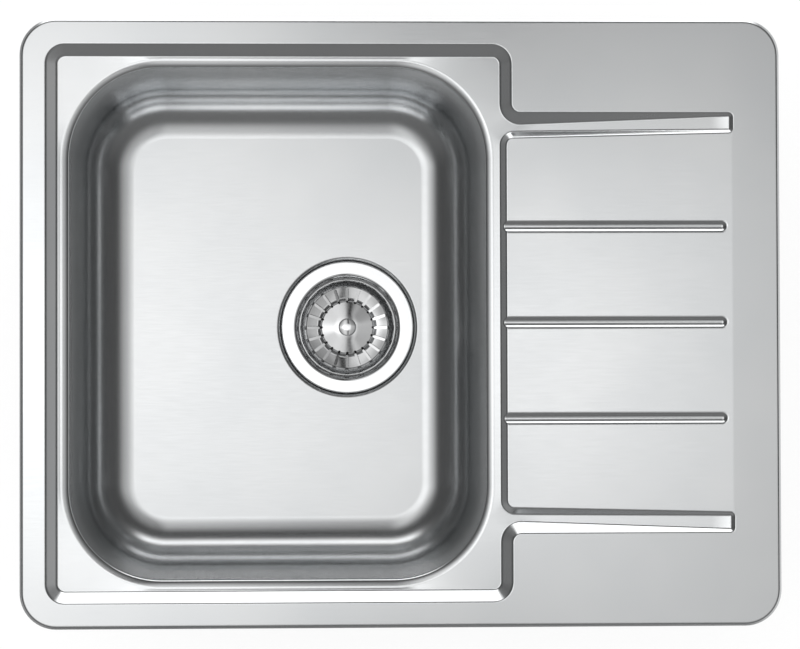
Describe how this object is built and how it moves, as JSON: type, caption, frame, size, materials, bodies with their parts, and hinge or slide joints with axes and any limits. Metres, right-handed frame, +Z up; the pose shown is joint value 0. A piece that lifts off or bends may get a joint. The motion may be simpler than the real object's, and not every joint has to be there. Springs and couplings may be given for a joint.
{
  "type": "kitchen sink",
  "caption": "Inset stainless kitchen sink with one bowl, a recessed deck, a grooved drainboard between two drain channels, worktop clips and a basket strainer waste.",
  "frame": {"origin": "centre of the worktop cut-out, on the worktop's top face", "axes": "+X from the bowl towards the drainboard, +Y towards the back, +Z up"},
  "size_m": [0.625, 0.5, 0.225],
  "materials": {
    "sheet_steel": "satin",
    "polished_steel": "polished",
    "screw_steel": "machined",
    "plated_steel": "zinc plated",
    "brass": "machined",
    "waste_plastic": "moulded",
    "snap_plastic": "moulded",
    "seal_rubber": "smooth",
    "foam": "closed-cell foam",
    "damping_pad": "matt"
  },
  "bodies": {
    "sink": {"sink_body": "sheet_steel", "rim_seal": "foam", "sound_pad": "damping_pad", "clip_straps": "plated_steel", "strainer_cup": "polished_steel", "flange_seal": "seal_rubber", "body_seal": "seal_rubber", "waste_body": "waste_plastic", "thread_insert": "brass", "centre_screw": "screw_steel"},
    "basket": {"strainer_basket": "polished_steel", "basket_knob": "polished_steel", "basket_stem": "screw_steel", "stopper_plate": "screw_steel", "stopper_seal": "seal_rubber", "stem_washer": "screw_steel", "stem_clip": "snap_plastic"},
    "screw_front_left": {"clip_screw_front_left": "plated_steel"},
    "claw_front_left": {"clip_claw_front_left": "plated_steel"},
    "screw_front_right": {"clip_screw_front_right": "plated_steel"},
    "claw_front_right": {"clip_claw_front_right": "plated_steel"},
    "screw_back_left": {"clip_screw_back_left": "plated_steel"},
    "claw_back_left": {"clip_claw_back_left": "plated_steel"},
    "screw_back_right": {"clip_screw_back_right": "plated_steel"},
    "claw_back_right": {"clip_claw_back_right": "plated_steel"},
    "screw_left": {"clip_screw_left": "plated_steel"},
    "claw_left": {"clip_claw_left": "plated_steel"},
    "screw_right": {"clip_screw_right": "plated_steel"},
    "claw_right": {"clip_claw_right": "plated_steel"}
  },
  "joints": [
    {"name": "basket_lift", "type": "slide", "parent": "sink", "child": "basket", "axis": [0, 0, 1], "range_m": [0, 0.2]},
    {"name": "clip_turn_front_left", "type": "hinge", "parent": "sink", "child": "screw_front_left", "pos_m": [-0.2, -0.217, 0], "axis": [0, 0, 1], "range_deg": [0, 90]},
    {"name": "claw_lift_front_left", "type": "slide", "parent": "screw_front_left", "child": "claw_front_left", "axis": [0, 0, 1], "range_m": [0, 0.016]},
    {"name": "clip_turn_front_right", "type": "hinge", "parent": "sink", "child": "screw_front_right", "pos_m": [0.2, -0.217, 0], "axis": [0, 0, 1], "range_deg": [0, 90]},
    {"name": "claw_lift_front_right", "type": "slide", "parent": "screw_front_right", "child": "claw_front_right", "axis": [0, 0, 1], "range_m": [0, 0.016]},
    {"name": "clip_turn_back_left", "type": "hinge", "parent": "sink", "child": "screw_back_left", "pos_m": [-0.2, 0.217, 0], "axis": [0, 0, 1], "range_deg": [0, 90]},
    {"name": "claw_lift_back_left", "type": "slide", "parent": "screw_back_left", "child": "claw_back_left", "axis": [0, 0, 1], "range_m": [0, 0.016]},
    {"name": "clip_turn_back_right", "type": "hinge", "parent": "sink", "child": "screw_back_right", "pos_m": [0.2, 0.217, 0], "axis": [0, 0, 1], "range_deg": [0, 90]},
    {"name": "claw_lift_back_right", "type": "slide", "parent": "screw_back_right", "child": "claw_back_right", "axis": [0, 0, 1], "range_m": [0, 0.016]},
    {"name": "clip_turn_left", "type": "hinge", "parent": "sink", "child": "screw_left", "pos_m": [-0.2795, 0, 0], "axis": [0, 0, 1], "range_deg": [0, 90]},
    {"name": "claw_lift_left", "type": "slide", "parent": "screw_left", "child": "claw_left", "axis": [0, 0, 1], "range_m": [0, 0.016]},
    {"name": "clip_turn_right", "type": "hinge", "parent": "sink", "child": "screw_right", "pos_m": [0.2795, 0, 0], "axis": [0, 0, 1], "range_deg": [0, 90]},
    {"name": "claw_lift_right", "type": "slide", "parent": "screw_right", "child": "claw_right", "axis": [0, 0, 1], "range_m": [0, 0.016]}
  ]
}
